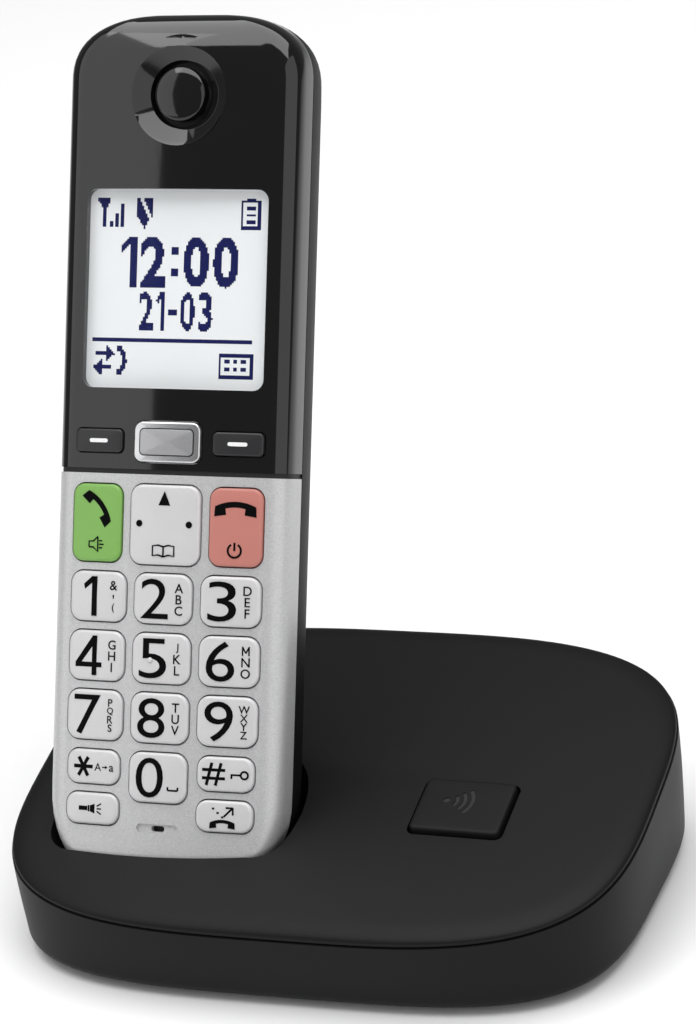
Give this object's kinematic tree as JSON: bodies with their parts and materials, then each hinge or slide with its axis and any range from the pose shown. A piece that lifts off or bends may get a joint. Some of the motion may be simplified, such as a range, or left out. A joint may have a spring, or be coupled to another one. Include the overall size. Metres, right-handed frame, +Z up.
{
  "type": "cordless phone with base",
  "caption": "Cordless phone handset with big buttons and a display, leaning back in a wide low charging base with a locator button.",
  "frame": {"origin": "under the middle of the whole phone's bounding box, on the table", "axes": "+X to the right as seen by the user, +Y away from the user, +Z up"},
  "size_m": [0.1358, 0.1152, 0.1736],
  "materials": {
    "charcoal": "fine-grained matt black",
    "gloss_black": "polished black",
    "silver": "silver paint, satin",
    "key_silver": "satin silver grey",
    "green": "satin green",
    "red": "satin salmon red",
    "bright_silver": "bright plated",
    "display_white": "lit white display",
    "clear": "clear",
    "board": "green circuit board",
    "rubber": "soft black rubber",
    "soft_black": "satin black",
    "mat_rubber": "grey silicone",
    "metal": "bright metal",
    "cell": "printed sleeve",
    "socket_black": "black moulded"
  },
  "bodies": {
    "base": {"base_aerial": "metal", "base_circuit_board": "board", "base_contact_left": "metal", "base_contact_right": "metal", "base_lower_housing": "charcoal", "base_screw_left": "metal", "base_screw_right": "metal", "base_top_cover": "charcoal", "foot_front_left": "rubber", "foot_front_right": "rubber", "foot_rear_left": "rubber", "foot_rear_right": "rubber", "line_socket": "socket_black", "locator_switch": "metal", "power_socket": "socket_black"},
    "handset": {"battery_left": "cell", "battery_plate_left": "metal", "battery_plate_right": "metal", "battery_right": "cell", "battery_spring_left": "metal", "battery_spring_right": "metal", "display_module": "display_white", "display_window": "clear", "earpiece_cap": "gloss_black", "front_lower_case": "silver", "front_upper_case": "gloss_black", "handset_circuit_board": "board", "handset_contact_left": "metal", "handset_contact_right": "metal", "handset_screw_left": "metal", "handset_screw_right": "metal", "keypad_mat": "mat_rubber", "loudspeaker": "metal", "microphone": "metal", "rear_case": "charcoal", "receiver_speaker": "metal", "torch_lens": "clear"},
    "locator_button": {"locator_button": "charcoal"},
    "battery_cover": {"battery_cover": "charcoal"},
    "navigator_saddle": {"navigator_saddle": "mat_rubber"},
    "navigator_key": {"navigator_key": "key_silver"},
    "key_0": {"key_0": "key_silver"},
    "key_1": {"key_1": "key_silver"},
    "key_2": {"key_2": "key_silver"},
    "key_3": {"key_3": "key_silver"},
    "key_4": {"key_4": "key_silver"},
    "key_5": {"key_5": "key_silver"},
    "key_6": {"key_6": "key_silver"},
    "key_7": {"key_7": "key_silver"},
    "key_8": {"key_8": "key_silver"},
    "key_9": {"key_9": "key_silver"},
    "key_star": {"key_star": "key_silver"},
    "key_hash": {"key_hash": "key_silver"},
    "key_torch": {"key_torch": "key_silver"},
    "key_redial": {"key_redial": "key_silver"},
    "key_talk": {"key_talk": "green"},
    "key_hang_up": {"key_hang_up": "red"},
    "soft_key_left": {"soft_key_left": "soft_black"},
    "soft_key_right": {"soft_key_right": "soft_black"},
    "centre_key": {"centre_key": "bright_silver"}
  },
  "joints": [
    {"name": "handset_lift", "type": "slide", "parent": "base", "child": "handset", "axis": [0, 0.4509, 0.8926], "range_m": [0, 0.05]},
    {"name": "locator_press", "type": "slide", "parent": "base", "child": "locator_button", "axis": [0, 0.1685, -0.9857], "range_m": [0, 0.001], "stiffness_N_per_m": 900},
    {"name": "battery_cover_tip", "type": "hinge", "parent": "handset", "child": "battery_cover", "pos_m": [-0.031, 0.00056, 0.04223], "axis": [-1, 0, 0], "range_deg": [0, 60]},
    {"name": "navigator_sideways", "type": "hinge", "parent": "handset", "child": "navigator_saddle", "pos_m": [-0.031, -0.00319, 0.08053], "axis": [0, 0.4509, 0.8926], "range_deg": [-2, 2], "stiffness_Nm_per_rad": 0.06},
    {"name": "navigator_up_down", "type": "hinge", "parent": "navigator_saddle", "child": "navigator_key", "pos_m": [-0.031, -0.00453, 0.08121], "axis": [1, 0, 0], "range_deg": [-2, 2], "stiffness_Nm_per_rad": 0.06},
    {"name": "key_0_press", "type": "slide", "parent": "handset", "child": "key_0", "axis": [0, 0.8926, -0.4509], "range_m": [0, 0.0006], "stiffness_N_per_m": 900},
    {"name": "key_1_press", "type": "slide", "parent": "handset", "child": "key_1", "axis": [0, 0.8926, -0.4509], "range_m": [0, 0.0006], "stiffness_N_per_m": 900},
    {"name": "key_2_press", "type": "slide", "parent": "handset", "child": "key_2", "axis": [0, 0.8926, -0.4509], "range_m": [0, 0.0006], "stiffness_N_per_m": 900},
    {"name": "key_3_press", "type": "slide", "parent": "handset", "child": "key_3", "axis": [0, 0.8926, -0.4509], "range_m": [0, 0.0006], "stiffness_N_per_m": 900},
    {"name": "key_4_press", "type": "slide", "parent": "handset", "child": "key_4", "axis": [0, 0.8926, -0.4509], "range_m": [0, 0.0006], "stiffness_N_per_m": 900},
    {"name": "key_5_press", "type": "slide", "parent": "handset", "child": "key_5", "axis": [0, 0.8926, -0.4509], "range_m": [0, 0.0006], "stiffness_N_per_m": 900},
    {"name": "key_6_press", "type": "slide", "parent": "handset", "child": "key_6", "axis": [0, 0.8926, -0.4509], "range_m": [0, 0.0006], "stiffness_N_per_m": 900},
    {"name": "key_7_press", "type": "slide", "parent": "handset", "child": "key_7", "axis": [0, 0.8926, -0.4509], "range_m": [0, 0.0006], "stiffness_N_per_m": 900},
    {"name": "key_8_press", "type": "slide", "parent": "handset", "child": "key_8", "axis": [0, 0.8926, -0.4509], "range_m": [0, 0.0006], "stiffness_N_per_m": 900},
    {"name": "key_9_press", "type": "slide", "parent": "handset", "child": "key_9", "axis": [0, 0.8926, -0.4509], "range_m": [0, 0.0006], "stiffness_N_per_m": 900},
    {"name": "key_star_press", "type": "slide", "parent": "handset", "child": "key_star", "axis": [0, 0.8926, -0.4509], "range_m": [0, 0.0006], "stiffness_N_per_m": 900},
    {"name": "key_hash_press", "type": "slide", "parent": "handset", "child": "key_hash", "axis": [0, 0.8926, -0.4509], "range_m": [0, 0.0006], "stiffness_N_per_m": 900},
    {"name": "key_torch_press", "type": "slide", "parent": "handset", "child": "key_torch", "axis": [0, 0.8926, -0.4509], "range_m": [0, 0.0006], "stiffness_N_per_m": 900},
    {"name": "key_redial_press", "type": "slide", "parent": "handset", "child": "key_redial", "axis": [0, 0.8926, -0.4509], "range_m": [0, 0.0006], "stiffness_N_per_m": 900},
    {"name": "key_talk_press", "type": "slide", "parent": "handset", "child": "key_talk", "axis": [0, 0.8926, -0.4509], "range_m": [0, 0.0006], "stiffness_N_per_m": 900},
    {"name": "key_hang_up_press", "type": "slide", "parent": "handset", "child": "key_hang_up", "axis": [0, 0.8926, -0.4509], "range_m": [0, 0.0006], "stiffness_N_per_m": 900},
    {"name": "soft_key_left_press", "type": "slide", "parent": "handset", "child": "soft_key_left", "axis": [0, 0.8926, -0.4509], "range_m": [0, 0.0006], "stiffness_N_per_m": 900},
    {"name": "soft_key_right_press", "type": "slide", "parent": "handset", "child": "soft_key_right", "axis": [0, 0.8926, -0.4509], "range_m": [0, 0.0006], "stiffness_N_per_m": 900},
    {"name": "centre_key_press", "type": "slide", "parent": "handset", "child": "centre_key", "axis": [0, 0.8926, -0.4509], "range_m": [0, 0.0006], "stiffness_N_per_m": 900}
  ]
}
